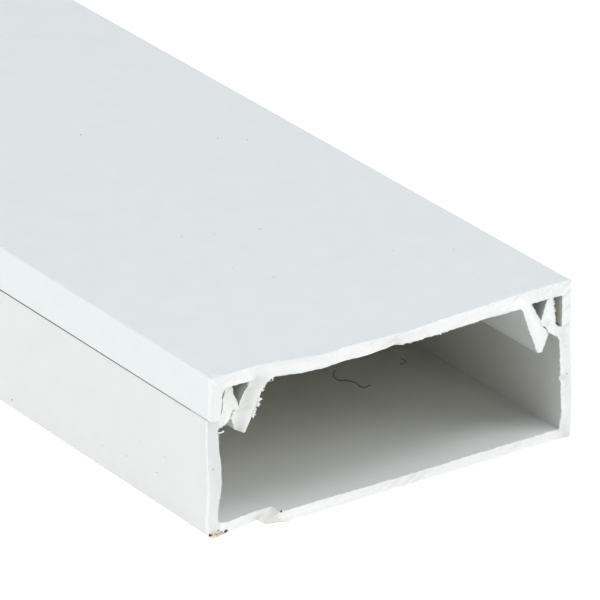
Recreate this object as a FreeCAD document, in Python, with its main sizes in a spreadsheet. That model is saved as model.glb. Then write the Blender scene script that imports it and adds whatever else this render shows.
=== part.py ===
import FreeCAD, Part
import os

import Sketcher

# A surface cord cover: a U-shaped channel that is fixed to the wall and a lid that clips on
# over it, both extruded rigid PVC. X runs across the width, Y along the length, +Z up from
# the back of the channel. The origin is the middle of that back. Sizes are in millimetres.

DOCUMENT = "cord_cover"
SHEET = "sizes"

# Every driving size: its alias, its value and what it measures.
SIZES = [
    ("raceway_width", 40.0, "over both side walls"),
    ("raceway_height", 16.0, "from the back of the channel to the face of the lid"),
    ("stock_length", 1000.0, "from the foremost point of the sawn end to the square end"),
    ("wall_thick", 1.1, "side wall of the channel"),
    ("floor_thick", 1.0, "floor of the channel"),
    ("plate_thick", 1.3, "face plate of the lid"),
    ("skirt_thick", 1.0, "outer skirt of the lid"),
    ("skirt_drop", 4.5, "from the face of the lid to the foot of its skirt"),
    ("seam_gap", 0.06, "between the foot of the skirt and the shoulder of the wall"),
    ("clip_clearance", 0.06, "between the lips of the channel and the clipped lid"),
    ("slot_floor", 0.5, "flat foot of the slot between the skirt and the lip"),
    ("lip_lean", 0.48, "how far the outer face of the lip leans inwards"),
    ("lip_tip_thick", 0.6, "top of the lip"),
    ("nose_reach", 0.74, "how far the nose of the lip stands inwards from its top"),
    ("nose_rise", 1.13, "from the shoulder of the wall up to the nose"),
    ("nose_depth", 0.42, "height of the nose"),
    ("nose_rake", 0.06, "how far the foot of the nose falls back"),
    ("ledge_reach", 0.62, "length of the ledge that the barb catches under"),
    ("ledge_drop", 0.36, "how far that ledge slopes down"),
    ("knee_reach", 0.3, "from the ledge outwards to the knee under the lip"),
    ("knee_drop", 0.6, "from the ledge down to that knee"),
    ("lip_root_drop", 0.85, "from the knee down to the root of the lip in the wall"),
    ("leg_root_inset", 4.7, "from the side of the raceway to the root of the leg"),
    ("leg_root_thick", 1.25, "leg of the lid at its root"),
    ("barb_gap", 0.26, "play of the barb under the ledge"),
    ("barb_reach", 0.06, "how far the barb stands out past the ledge"),
    ("barb_height", 0.5, "outer face of the barb"),
    ("barb_taper", 1.5, "from the barb down to the tip of the leg"),
    ("leg_tip_inset", 3.3, "from the side of the raceway to the tip of the leg"),
    ("leg_tip_thick", 0.5, "tip of the leg"),
    ("lid_corner_radius", 0.25, "long outer corners of the lid"),
    ("leg_root_radius", 0.7, "inside of the root of the leg"),
    ("leg_tip_radius", 0.23, "tip of the leg"),
    ("barb_radius", 0.12, "corners of the barb"),
    ("back_corner_radius", 0.15, "long outer corners of the channel"),
    ("inside_corner_radius", 0.25, "inside corners of the channel and of the skirt"),
    ("slot_radius", 0.6, "foot of the slot between the skirt and the lip"),
    ("lip_radius", 0.14, "top and nose of the lip"),
    ("lip_root_radius", 0.3, "under the lip, where it meets the wall"),
    ("edge_radius", 0.1, "edges of the seam"),
    ("offcut_margin", 5.0, "how far the waste of the saw cut stands clear of the stock"),
]

# The sawn end was cut by hand. Each stroke ends at a point that lies so far across from the
# middle, and so far back from the foremost point of the cut.
LID_STROKES = [
    (-14.8, 1.5), (-13.4, 1.0), (-9.0, 0.0), (-6.0, 0.3), (1.0, 0.3), (8.0, 0.85), (13.0, 1.35)
]
CHANNEL_STROKES = [(-15.2, 2.1), (-13.4, 0.8), (-5.0, 0.85), (8.0, 1.15)]
LID_CUT_ENDS = (1.5, 1.5)
CHANNEL_CUT_ENDS = (1.9, 1.45)

# Heights and insets that several corners share. An inset is measured from the side of the
# raceway towards its middle.
UNDERSIDE = "(sizes.raceway_height - sizes.plate_thick)"
SKIRT_FOOT = "(sizes.raceway_height - sizes.skirt_drop)"
SHOULDER = "(%s - sizes.seam_gap)" % SKIRT_FOOT
LIP_TOP = "(%s - sizes.clip_clearance)" % UNDERSIDE
NOSE_TOP = "(%s + sizes.nose_rise)" % SHOULDER
NOSE_FOOT = "(%s - sizes.nose_depth)" % NOSE_TOP
LEDGE_END = "(%s - sizes.ledge_drop)" % NOSE_FOOT
KNEE = "(%s - sizes.knee_drop)" % LEDGE_END
LIP_ROOT = "(%s - sizes.lip_root_drop)" % KNEE
BARB_TOP = "(%s - sizes.barb_gap)" % LEDGE_END
BARB_FOOT = "(%s - sizes.barb_height)" % BARB_TOP
LEG_TIP = "(%s - sizes.barb_taper)" % BARB_FOOT
NOTCH = "(%s - sizes.clip_clearance)" % NOSE_FOOT

SLOT_INSET = "(sizes.skirt_thick + sizes.clip_clearance + sizes.slot_floor)"
LIP_OUTER_INSET = "(%s + sizes.lip_lean)" % SLOT_INSET
LIP_INNER_INSET = "(%s + sizes.lip_tip_thick)" % LIP_OUTER_INSET
NOSE_INSET = "(%s + sizes.nose_reach)" % LIP_INNER_INSET
NOSE_FOOT_INSET = "(%s - sizes.nose_rake)" % NOSE_INSET
LEDGE_INSET = "(%s - sizes.ledge_reach)" % NOSE_FOOT_INSET
KNEE_INSET = "(%s - sizes.knee_reach)" % LEDGE_INSET
NOTCH_INSET = "(%s + sizes.clip_clearance)" % NOSE_FOOT_INSET

# The right half of each section, corner by corner: name, inset and height.
CHANNEL_OUTLINE = [
    ("back_corner", "0", "0"),
    ("shoulder_edge", "0", SHOULDER),
    ("slot_foot", SLOT_INSET, SHOULDER),
    ("lip_outer_top", LIP_OUTER_INSET, LIP_TOP),
    ("lip_inner_top", LIP_INNER_INSET, LIP_TOP),
    ("nose_top", NOSE_INSET, NOSE_TOP),
    ("nose_foot", NOSE_FOOT_INSET, NOSE_FOOT),
    ("ledge_end", LEDGE_INSET, LEDGE_END),
    ("knee", KNEE_INSET, KNEE),
    ("lip_root", "sizes.wall_thick", LIP_ROOT),
    ("floor_corner", "sizes.wall_thick", "sizes.floor_thick"),
]
LID_OUTLINE = [
    ("face_corner", "0", "sizes.raceway_height"),
    ("skirt_outer_foot", "0", SKIRT_FOOT),
    ("skirt_inner_foot", "sizes.skirt_thick", SKIRT_FOOT),
    ("skirt_corner", "sizes.skirt_thick", UNDERSIDE),
    ("leg_outer_root", "sizes.leg_root_inset", UNDERSIDE),
    ("leg_at_nose", "(%s + sizes.clip_clearance)" % NOSE_INSET, NOSE_TOP),
    ("notch", NOTCH_INSET, NOTCH),
    ("barb_top", "(%s + sizes.clip_clearance)" % LEDGE_INSET, BARB_TOP),
    ("barb_foot", "(%s - sizes.barb_reach)" % LEDGE_INSET, BARB_FOOT),
    ("tip_outer", "sizes.leg_tip_inset", LEG_TIP),
    ("tip_inner", "(sizes.leg_tip_inset + sizes.leg_tip_thick)", LEG_TIP),
    ("leg_inner_root", "(sizes.leg_root_inset + sizes.leg_root_thick)", UNDERSIDE),
]

# The long edges of each section that the die rounds: radius, then the corners that have it.
CHANNEL_ROUNDS = [
    ("back_corner_radius", ["back_corner"]),
    ("inside_corner_radius", ["floor_corner"]),
    ("slot_radius", ["slot_foot"]),
    ("lip_radius", ["lip_outer_top", "lip_inner_top", "nose_top", "nose_foot"]),
    ("lip_root_radius", ["lip_root"]),
    ("edge_radius", ["shoulder_edge"]),
]
LID_ROUNDS = [
    ("lid_corner_radius", ["face_corner"]),
    ("leg_root_radius", ["leg_inner_root"]),
    ("leg_tip_radius", ["tip_outer", "tip_inner"]),
    ("barb_radius", ["barb_top", "barb_foot"]),
    ("inside_corner_radius", ["skirt_corner"]),
    ("edge_radius", ["skirt_outer_foot", "skirt_inner_foot"]),
]

# The numbers by which a sketch knows a line's two ends, its own origin and its two axes.
START_INDEX, END_INDEX = 1, 2
ORIGIN_INDEX = (-1, 1)
ACROSS_AXIS_INDEX, UP_AXIS_INDEX = -1, -2

SAME_PLACE = 1e-5


def make_sheet(doc):
    """Writes every driving size, and the saw strokes, into the spreadsheet."""
    sheet = doc.addObject("Spreadsheet::Sheet", SHEET)
    rows = list(SIZES)
    for piece, strokes, ends in (
        ("lid", LID_STROKES, LID_CUT_ENDS),
        ("channel", CHANNEL_STROKES, CHANNEL_CUT_ENDS),
    ):
        for number, (across, back) in enumerate(strokes, start=1):
            rows.append(("%s_stroke%d_across" % (piece, number), across, "end of a saw stroke, across"))
            rows.append(("%s_stroke%d_back" % (piece, number), back, "end of a saw stroke, back"))
        rows.append(("%s_left_back" % piece, ends[0], "left side of the sawn end, back"))
        rows.append(("%s_right_back" % piece, ends[1], "right side of the sawn end, back"))
    for row, (alias, value, meaning) in enumerate(rows, start=1):
        sheet.set("A%d" % row, alias)
        sheet.set("B%d" % row, str(value))
        sheet.set("C%d" % row, meaning)
        sheet.setAlias("B%d" % row, alias)
    doc.recompute()
    return sheet


def origin_plane(body, role):
    """One of the body's own origin planes."""
    return [f for f in body.Origin.OriginFeatures if f.Role == role][0]


def new_sketch(body, name, role):
    """An empty sketch on one of the body's origin planes."""
    sketch = body.newObject("Sketcher::SketchObject", name)
    sketch.AttachmentSupport = [(origin_plane(body, role), "")]
    sketch.MapMode = "FlatFace"
    return sketch


def draw_polygon(sketch, points):
    """Closed straight lines through the points, each line starting at its own point."""
    count = len(points)
    for i, (x, y) in enumerate(points):
        next_x, next_y = points[(i + 1) % count]
        line = Part.LineSegment(FreeCAD.Vector(x, y, 0), FreeCAD.Vector(next_x, next_y, 0))
        sketch.addGeometry(line, False)
    for i in range(count):
        after = (i + 1) % count
        sketch.addConstraint(Sketcher.Constraint("Coincident", i, END_INDEX, after, START_INDEX))


def pin(sketch, line, name, kind, expression):
    """Ties the start of a line to the origin along one axis, by an expression over the sizes."""
    value = float(sketch.evalExpression(expression))
    if abs(value) < SAME_PLACE:
        axis = ACROSS_AXIS_INDEX if kind == "DistanceY" else UP_AXIS_INDEX
        sketch.addConstraint(Sketcher.Constraint("PointOnObject", line, START_INDEX, axis))
        return
    if value > 0:
        constraint = Sketcher.Constraint(kind, *ORIGIN_INDEX, line, START_INDEX, value)
    else:
        constraint = Sketcher.Constraint(kind, line, START_INDEX, *ORIGIN_INDEX, -value)
        expression = "-(%s)" % expression
    index = sketch.addConstraint(constraint)
    sketch.renameConstraint(index, name)
    sketch.setExpression("Constraints.%s" % name, expression)


def draw_section(body, name, outline):
    """The whole section from its right half. Returns the sketch and each corner's place."""
    sketch = new_sketch(body, name, "XZ_Plane")
    across = ["sizes.raceway_width / 2 - %s" % inset for _, inset, _ in outline]
    right = [
        (float(sketch.evalExpression(x)), float(sketch.evalExpression(height)))
        for x, (_, _, height) in zip(across, outline)
    ]
    left = [(-x, z) for x, z in reversed(right)]
    draw_polygon(sketch, right + left)
    last = len(right) + len(left) - 1
    for i, (corner, _, height) in enumerate(outline):
        pin(sketch, i, corner + "_across", "DistanceX", across[i])
        pin(sketch, i, corner + "_height", "DistanceY", height)
        sketch.addConstraint(
            Sketcher.Constraint("Symmetric", i, START_INDEX, last - i, START_INDEX, UP_AXIS_INDEX)
        )
    places = {corner: place for (corner, _, _), place in zip(outline, right)}
    return sketch, places


def extrude(body, sketch, name):
    """Pads a section along the length, half to each side of the middle."""
    pad = body.newObject("PartDesign::Pad", name)
    pad.Profile = sketch
    pad.SideType = "Symmetric"
    pad.setExpression("Length", "sizes.stock_length")
    body.Document.recompute()
    return pad


def long_edges(shape, places):
    """The names of the edges that run along the length at these places, on both sides."""
    found = []
    for number, edge in enumerate(shape.Edges, start=1):
        ends = [vertex.Point for vertex in edge.Vertexes]
        if len(ends) != 2 or abs(ends[0].x - ends[1].x) > SAME_PLACE:
            continue
        for x, z in places:
            if all(abs(abs(p.x) - x) < SAME_PLACE and abs(p.z - z) < SAME_PLACE for p in ends):
                found.append("Edge%d" % number)
    return found


def round_edges(body, before, radius, corners, places):
    """Rounds the long edges at the named corners."""
    edges = long_edges(before.Shape, [places[c] for c in corners])
    if len(edges) != 2 * len(corners):
        raise RuntimeError("%s: %d edges found for %s" % (body.Label, len(edges), corners))
    fillet = body.newObject("PartDesign::Fillet", "%s_%s" % (body.Name, radius))
    fillet.Base = (before, edges)
    fillet.setExpression("Radius", "sizes.%s" % radius)
    body.Document.recompute()
    return fillet


def saw_end(body, before, piece, strokes):
    """Cuts the near end to the line that the hand saw left."""
    sketch = new_sketch(body, "%s_saw_line" % piece, "XY_Plane")
    front = "sizes.stock_length / 2"
    side = "(sizes.raceway_width / 2 + sizes.offcut_margin)"
    line = [("-%s" % side, "-(%s - sizes.%s_left_back)" % (front, piece))]
    for number in range(1, len(strokes) + 1):
        stroke = "sizes.%s_stroke%d" % (piece, number)
        line.append(("%s_across" % stroke, "-(%s - %s_back)" % (front, stroke)))
    line.append((side, "-(%s - sizes.%s_right_back)" % (front, piece)))
    waste = "-(%s + sizes.offcut_margin)" % front
    corners = line + [(side, waste), ("-%s" % side, waste)]
    points = [
        (float(sketch.evalExpression(x)), float(sketch.evalExpression(y))) for x, y in corners
    ]
    draw_polygon(sketch, points)
    for i, (x, y) in enumerate(corners):
        pin(sketch, i, "point%d_across" % i, "DistanceX", x)
        pin(sketch, i, "point%d_along" % i, "DistanceY", y)
    body.Document.recompute()
    cut = body.newObject("PartDesign::Pocket", "%s_saw_cut" % piece)
    cut.Profile = sketch
    cut.Type = "ThroughAll"
    cut.SideType = "Symmetric"
    body.Document.recompute()
    if cut.Shape.Volume > before.Shape.Volume - SAME_PLACE:
        raise RuntimeError("%s: the saw cut removed nothing" % body.Label)
    return cut


def make_piece(doc, label, piece, outline, rounds, strokes):
    """One extruded piece: its section, its rounded long edges and its sawn end."""
    body = doc.addObject("PartDesign::Body", piece)
    body.Label = label
    sketch, places = draw_section(body, "%s_section" % piece, outline)
    doc.recompute()
    feature = extrude(body, sketch, "%s_extrusion" % piece)
    for radius, corners in rounds:
        feature = round_edges(body, feature, radius, corners, places)
    body.Tip = saw_end(body, feature, piece, strokes)
    doc.recompute()
    return body


def check(doc, bodies):
    """Stops if any object failed, a sketch is loose, or a piece is not one valid solid."""
    for item in doc.Objects:
        if "Invalid" in item.State or "Error" in item.State:
            raise RuntimeError("%s failed: %s" % (item.Label, item.State))
        if item.TypeId == "Sketcher::SketchObject" and not item.FullyConstrained:
            raise RuntimeError("%s is not fully constrained" % item.Label)
    for body in bodies:
        shape = body.Shape
        if shape.isNull() or not shape.isValid() or len(shape.Solids) != 1:
            raise RuntimeError("%s is not one valid solid" % body.Label)
        box = shape.BoundBox
        print(
            "%s: %.1f x %.1f x %.1f mm, %.2f cm3, %d faces"
            % (body.Label, box.XLength, box.YLength, box.ZLength, shape.Volume / 1000, len(shape.Faces))
        )


def main():
    doc = FreeCAD.newDocument(DOCUMENT)
    make_sheet(doc)
    bodies = [
        make_piece(doc, "base_channel", "channel", CHANNEL_OUTLINE, CHANNEL_ROUNDS, CHANNEL_STROKES),
        make_piece(doc, "clip_lid", "lid", LID_OUTLINE, LID_ROUNDS, LID_STROKES),
    ]
    check(doc, bodies)
    os.makedirs("parts", exist_ok=True)
    for body in bodies:
        body.Shape.exportStep(os.path.join("parts", body.Label + ".step"))


main()
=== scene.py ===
import math
import random

import bmesh
import bpy
import numpy as np
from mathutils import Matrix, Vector
from mathutils.geometry import delaunay_2d_cdt
from mathutils.kdtree import KDTree


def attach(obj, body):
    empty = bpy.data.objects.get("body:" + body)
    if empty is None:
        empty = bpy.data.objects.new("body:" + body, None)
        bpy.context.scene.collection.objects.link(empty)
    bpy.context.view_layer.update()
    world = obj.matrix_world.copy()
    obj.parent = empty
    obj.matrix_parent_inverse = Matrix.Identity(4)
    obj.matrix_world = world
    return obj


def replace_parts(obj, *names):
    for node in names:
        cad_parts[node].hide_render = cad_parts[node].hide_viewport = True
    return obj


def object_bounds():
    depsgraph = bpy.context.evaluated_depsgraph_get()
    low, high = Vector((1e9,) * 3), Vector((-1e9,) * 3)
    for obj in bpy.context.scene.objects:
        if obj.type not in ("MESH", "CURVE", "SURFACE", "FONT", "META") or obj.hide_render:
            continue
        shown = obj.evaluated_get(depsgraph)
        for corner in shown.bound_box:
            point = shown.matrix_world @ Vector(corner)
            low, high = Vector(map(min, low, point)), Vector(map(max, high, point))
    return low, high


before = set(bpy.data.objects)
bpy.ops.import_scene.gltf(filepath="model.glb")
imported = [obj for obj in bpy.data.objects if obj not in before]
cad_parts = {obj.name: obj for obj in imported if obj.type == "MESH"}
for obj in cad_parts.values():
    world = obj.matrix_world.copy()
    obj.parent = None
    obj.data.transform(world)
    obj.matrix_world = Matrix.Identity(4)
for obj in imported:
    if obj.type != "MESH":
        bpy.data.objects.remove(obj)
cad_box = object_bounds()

# A clip-on cord cover in two extruded pieces, sawn off by hand at the near end.
# X runs across the width, Y along the length, +Z up from the back of the channel.
# Sizes are in millimetres, and MM turns them into the scene's metres.
MM = 0.001
SEED = 7

# The section, as it is packed
WIDTH = (cad_box[1].x - cad_box[0].x) / MM
HEIGHT = (cad_box[1].z - cad_box[0].z) / MM
NEAR_END = cad_box[0].y / MM
FAR_END = cad_box[1].y / MM
LENGTH = FAR_END - NEAR_END
SIDE = WIDTH / 2
PLATE_THICK = 1.3
FLOOR_THICK = 1.0
WALL_THICK = 1.1
SKIRT_DROP = 4.5
UNDERSIDE = HEIGHT - PLATE_THICK
SEAM = HEIGHT - SKIRT_DROP
INNER_WALL = SIDE - WALL_THICK

# How fine the sawn face is divided, and how near to each other two points are one
GRAIN_STEP = 0.085
WELD = 0.002

# How far the rings of the sides lie from the sawn end, and the last ones from the square end
NEAR_RINGS = (
    0, 0.06, 0.14, 0.25, 0.4, 0.6, 0.8, 1, 1.25, 1.6, 2.5, 4, 6.5, 10, 16, 30, 60, 120, 250, 500, 750,
)
FAR_RINGS = (100, 20, 1, 0.4, 0)


def along_x(height, points):
    """Depths of the cut along a level edge, as (across, height, depth)."""
    return [(across, height, depth) for across, depth in points]


def along_z(across, points):
    """Depths of the cut along an upright edge, as (across, height, depth)."""
    return [(across, height, depth) for height, depth in points]


# How deep the saw went at each edge of the sawn face, from the foremost point of the cut
LID_CUT = [
    along_x(HEIGHT, [
        (-19.8, 1.1), (-18, 1.05), (-16, 1.2), (-14.9, 1.15), (-13.5, 0.95), (-11.9, 0.55), (-9.9, 0.2),
        (-8.9, 0.05), (-7.4, 0.05), (-6.3, 0.35), (-3, 0.3), (1, 0.25), (5, 0.75), (8, 1.05), (11.5, 1.35),
        (14, 1.6), (19.9, 1.85),
    ]),
    along_x(UNDERSIDE, [
        (-13.8, 0.8), (-13.3, 0.8), (-12.2, 0.5), (-11.1, 0.2), (-8.6, 0), (-7.2, 0.2), (-5.8, 0.35),
        (-5.2, 0.25), (-4, 0.2), (-1.8, 0.55), (-0.3, 0.85), (0, 0.5), (2.2, 0.5), (2.9, 0.65), (3.5, 0.55),
        (4.3, 0.7), (8.5, 1.05), (10, 1.25), (11.3, 1.2), (13.7, 1.25),
    ]),
    # Left leg: its inner side, then its outer side
    [
        (-14, 14.5, 0.75), (-14.4, 13.9, 1.15), (-14.7, 13.2, 1.35), (-15.3, 11.8, 1.35),
        (-15.6, 10.9, 1.5), (-16.2, 9.5, 1.65),
    ],
    [
        (-15.4, 14.5, 1.7), (-16, 13.5, 1.9), (-16.6, 12.3, 2.05), (-17.3, 11.2, 2.05),
        (-17, 10.3, 2.25), (-16.7, 9.6, 2.55),
    ],
    along_x(UNDERSIDE, [(-18.8, 1.1), (-15.6, 1.25)]),
    along_z(-SIDE, [(15.6, 1.05), (13.5, 1.25), (SEAM, 1.4)]),
    # Right leg, in the same order
    [(14, 14.5, 1.3), (14.6, 13.4, 1.55), (15.9, 10.3, 1.75), (16.3, 9.5, 1.8)],
    [(15.3, 14.6, 1.7), (16.6, 12.5, 1.85), (17.3, 11.3, 1.85), (16.8, 9.8, 1.8)],
    along_x(UNDERSIDE, [(15.6, 1.75), (18.8, 1.8)]),
    along_z(SIDE, [(15.3, 2.0), (SEAM, 1.9)]),
]
CHANNEL_CUT = [
    # The floor's underside on the left of the chip's line, then on its right
    along_x(0, [
        (-19.9, 1.9), (-19.4, 1.7), (-18.7, 1.65), (-16.9, 2.1), (-16, 2.15), (-15.2, 2.4), (-14.4, 2.6),
    ]),
    along_x(0, [
        (-14.1, 1.3), (-13.1, 1.1), (-12.5, 0.8), (-10.7, 0.9), (-6.2, 1.05), (0.2, 1.35), (8.2, 1.6),
        (14.1, 1.9), (19.5, 2.1),
    ]),
    # The floor's upper side in the same order
    along_x(FLOOR_THICK, [
        (-18.2, 1.85), (-17.7, 1.8), (-16.7, 2.05), (-14.8, 2.3), (-12.9, 2.45),
    ]),
    along_x(FLOOR_THICK, [
        (-12.7, 1.15), (-12.2, 0.95), (-8.8, 1.1), (0.2, 1.3), (4.9, 1.45), (8.6, 1.65), (18.5, 2.0),
    ]),
    along_z(-INNER_WALL, [
        (1.6, 2.05), (2.9, 1.9), (4.2, 1.7), (5.5, 1.62), (7, 1.67), (8.3, 1.8), (10, 1.95),
    ]),
    along_z(-SIDE, [(0.8, 1.85), (4.2, 1.7), (6.4, 1.8), (8.8, 1.95), (SEAM, 1.9)]),
    # Left lip: under it and round its nose, then the slot behind it
    [
        (-18.8, 10.4, 2.0), (-18.2, 10.8, 1.75), (-17.6, 11.2, 1.95), (-17.3, 11.8, 2.05),
        (-16.6, 12.3, 1.95), (-17.4, 14.6, 2.25),
    ],
    [(-18, 14.6, 2.1), (-18.4, 12.2, 2.0), (-19, SEAM, 2.0)],
    along_z(INNER_WALL, [
        (1.3, 1.85), (2.9, 1.55), (4.1, 1.75), (5.85, 1.75), (6.05, 2.05), (6.35, 2.05), (6.6, 1.8),
        (9.8, 2.05),
    ]),
    along_z(SIDE, [
        (0.6, 1.7), (2.8, 1.6), (5, 1.65), (6.7, 1.7), (7.4, 1.75), (10, 1.85), (11.3, 1.95),
    ]),
    # Right lip, in the same order
    [(18.8, 10.4, 2.15), (17.6, 11.2, 2.0), (17.3, 11.8, 2.15), (16.6, 12.3, 1.85), (17.4, 14.6, 1.9)],
    [(18, 14.6, 1.9), (18.4, 12.2, 2.05), (19, SEAM, 2.05)],
]
# How far back the outer faces are bruised white beside the cut
LID_BRUISE = [
    along_x(HEIGHT, [
        (-19.8, 2.3), (-19.5, 1.7), (-19.1, 1.3), (-18.7, 1.1), (-17.9, 1.15), (-16, 1.3), (-14.9, 1.4),
        (-13.5, 1.15), (-11.9, 0.75), (-9.9, 0.4), (-8.9, 0.1), (-6.3, 0.4), (-3, 0.35), (1, 0.3), (5, 0.8),
        (8, 1.1), (11.5, 1.65), (14, 2.0), (19.9, 1.95),
    ]),
    along_z(-SIDE, [(15.6, 1.7), (13.5, 1.9), (SEAM, 2.0)]),
    along_z(SIDE, [(15.6, 2.2), (SEAM, 2.2)]),
]
CHANNEL_BRUISE = [
    along_z(-SIDE, [
        (0.1, 2.2), (1.4, 2.4), (3, 2.2), (4.5, 2.05), (6.4, 2.1), (8.8, 2.2), (10.4, 2.2), (SEAM, 2.1),
    ]),
    along_z(SIDE, [(0.6, 1.9), (2.8, 1.7), (6.7, 1.9), (11.3, 2.5)]),
]

# Over what depth the bruise fades out, and how near to an outer side it lies
BRUISE_BLUR = 0.7
EDGE_BAND = 0.3

# A chip broke out of the channel's floor as far as this line, from its foot to its top. The step there
# is twice this half width wide, and it stays this share of a rim's part clear of the part's ends
CHIP_LINE = np.array([(-14.25, 0), (-12.8, FLOOR_THICK)])
CHIP_HALF_WIDTH = 0.012
CHIP_MARGIN = 0.05

# How closely the depths are marked along an edge, how far each mark is softened, how sharply the nearer
# ones win, and how many places are blended at a time
MARK_STEP = 0.1
CUT_SOFTNESS = 0.08
CUT_SHARPNESS = 1.5
BLEND_BLOCK = 2000

# How far the fine saw marks reach along the sides, and their share at the square far end
SAW_REACH = 0.8
FAR_SAW_SHARE = 0.3

# Where the blade dragged the soft edges aside: across, height, reach, moved across, moved up
LID_DRAGS = [
    (-19, 14.6, 0.5, 0.27, 0), (-19, 13.2, 0.7, 0.13, 0), (-19, 12, 0.5, 0.08, 0),
    (-16.3, 12.7, 0.5, 0.15, 0),
]
CHANNEL_DRAGS = [
    (-18.2, 13.2, 0.4, -0.08, 0), (-18.7, 12.2, 0.4, -0.12, 0),
    (-17.4, 14.7, 0.45, -0.45, 0), (-17, 13.3, 0.5, -0.25, 0), (-16.7, 12.4, 0.45, -0.05, -0.55),
    (-18.9, 4.3, 0.9, 0.11, 0), (-18.9, 5.7, 0.9, 0.11, 0), (-18.9, 7.1, 0.9, 0.11, 0),
]

# Over what length of the sides a drag fades out
DRAG_REACH = 0.8

# How high the bead stands that the blade left along the rim of the cut, and how far it reaches
RIM_BEAD = 0.01
BEAD_REACH = 0.3

# No burr stands into the closed seam, this far above and below it
CLOSED_SEAM = 0.1

# How far in from the cut the hollow's painted shade tint is full: a creamier, slightly lighter tone that
# stands in for the warm light bounced deep inside. In the slots it is full at once: they lie outside a line
# that leans outwards from its root at the lid's underside, and above their foot
SHADE_TINT_REACH = 20
SLOT_ROOT = 14.6
SLOT_LEAN = 0.44
SLOT_FOOT = 10


def right_of(line, places):
    """Whether each place lies to the right of a line that runs up."""
    start, end = line
    return (places[:, 0] - start[0]) * (end[1] - start[1]) > (places[:, 1] - start[1]) * (end[0] - start[0])


def cut_depths(edges, places, chip):
    """Depth of the sawn face at each (across, height), blended from the depths at its edges."""
    marks = []
    for edge in edges:
        corners = np.array(edge, float)
        run = np.r_[0, np.cumsum(np.hypot(*np.diff(corners[:, :2], axis=0).T))]
        at = np.linspace(0, run[-1], max(2, int(run[-1] / MARK_STEP)))
        marks.append(np.stack([np.interp(at, run, corners[:, axis]) for axis in range(3)], axis=1))
    marks = np.concatenate(marks)
    depths = np.empty(len(places))
    for start in range(0, len(places), BLEND_BLOCK):
        block = places[start:start + BLEND_BLOCK]
        away = ((block[:, None, :] - marks[None, :, :2]) ** 2).sum(2)
        weight = 1 / (away + CUT_SOFTNESS ** 2) ** CUT_SHARPNESS
        if chip is not None:
            weight *= right_of(chip, block)[:, None] == right_of(chip, marks)[None, :]
        depths[start:start + BLEND_BLOCK] = (weight * marks[:, 2]).sum(1) / weight.sum(1)
    return depths


def section_loop(node):
    """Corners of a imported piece's section, in order round its square far end."""
    packed = bmesh.new()
    packed.from_mesh(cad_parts[node].data)
    bmesh.ops.remove_doubles(packed, verts=packed.verts, dist=WELD * MM)
    at_end = {v for v in packed.verts if v.co.y > (FAR_END - WELD) * MM}
    end_faces = {f for f in packed.faces if all(v in at_end for v in f.verts)}
    rim = {}
    for face in end_faces:
        for loop in face.loops:
            others = [f for f in loop.edge.link_faces if f is not face and f in end_faces]
            if not others:
                rim[loop.vert] = loop.link_loop_next.vert
    # The leftmost and lowest corner comes first, so that the order is the same each run
    start = min(rim, key=lambda corner: (corner.co.x, corner.co.z))
    vert = start
    loop = []
    while True:
        loop.append((vert.co.x / MM, vert.co.z / MM))
        vert = rim[vert]
        if vert is start:
            break
    packed.free()
    points = np.array(loop)
    area = (points[:, 0] * np.roll(points[:, 1], -1) - points[:, 1] * np.roll(points[:, 0], -1)).sum()
    return points if area > 0 else points[::-1]


def divide(loop, step):
    """The same loop with its long runs divided."""
    points = []
    for start, end in zip(loop, np.roll(loop, -1, axis=0)):
        parts = max(1, round(np.hypot(*(end - start)) / step))
        points += [start + (end - start) * part / parts for part in range(parts)]
    return np.array(points)


# The inner points stand in rows this share of their step apart, out of place by up to a share of it,
# and clear of the rim by a share of it
ROW_SHARE = 0.87
JITTER_SHARE = 0.2
CLEAR_SHARE = 0.6


def inner_points(loop, step):
    """Points spread over the inside of a loop in rows, clear of its line."""
    luck = random.Random(SEED)
    tree = KDTree(len(loop))
    for number, (across, height) in enumerate(loop):
        tree.insert((across, height, 0), number)
    tree.balance()
    ends = np.roll(loop, -1, axis=0)
    found = []
    levels = np.arange(loop[:, 1].min() + step / 2, loop[:, 1].max(), step * ROW_SHARE)
    for row, level in enumerate(levels):
        crossing = (loop[:, 1] > level) != (ends[:, 1] > level)
        start, end = loop[crossing], ends[crossing]
        share = (level - start[:, 1]) / (end[:, 1] - start[:, 1])
        places = np.sort(start[:, 0] + share * (end[:, 0] - start[:, 0]))
        for left, right in places.reshape(-1, 2):
            for across in np.arange(left + (row % 2) * step / 2, right, step):
                across_moved = across + luck.uniform(-JITTER_SHARE, JITTER_SHARE) * step
                height_moved = level + luck.uniform(-JITTER_SHARE, JITTER_SHARE) * step
                if tree.find((across_moved, height_moved, 0))[2] > CLEAR_SHARE * step:
                    found.append((across_moved, height_moved))
    return np.array(found)


def cross_chip(loop, chip):
    """The loop with a close pair of points at each place where it crosses the chip's line."""
    beyond = right_of(chip, loop)
    points = []
    for here, (start, end) in enumerate(zip(loop, np.roll(loop, -1, axis=0))):
        points.append(start)
        if beyond[here] != beyond[(here + 1) % len(loop)]:
            run = end - start
            fall = chip[1] - chip[0]
            off = chip[0] - start
            share = (off[0] * fall[1] - off[1] * fall[0]) / (run[0] * fall[1] - run[1] * fall[0])
            half = CHIP_HALF_WIDTH / np.hypot(*run)
            points.append(start + run * max(CHIP_MARGIN, share - half))
            points.append(start + run * min(1 - CHIP_MARGIN, share + half))
    return np.array(points)


def line_chip(inside, chip):
    """The inner points with a close pair of rows along the chip's line, and none nearer to it."""
    run = chip[1] - chip[0]
    length = np.hypot(*run)
    beside = np.array([run[1], -run[0]]) / length
    clear = np.abs((inside - chip[0]) @ beside) > GRAIN_STEP / 2
    above = inside[:, 1] > chip[1][1]
    shares = np.arange(GRAIN_STEP / length, 1 - GRAIN_STEP / (2 * length), GRAIN_STEP / length)
    middle = chip[0] + shares[:, None] * run
    aside = CHIP_HALF_WIDTH * beside
    return np.concatenate([inside[clear | above], middle + aside, middle - aside])


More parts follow.
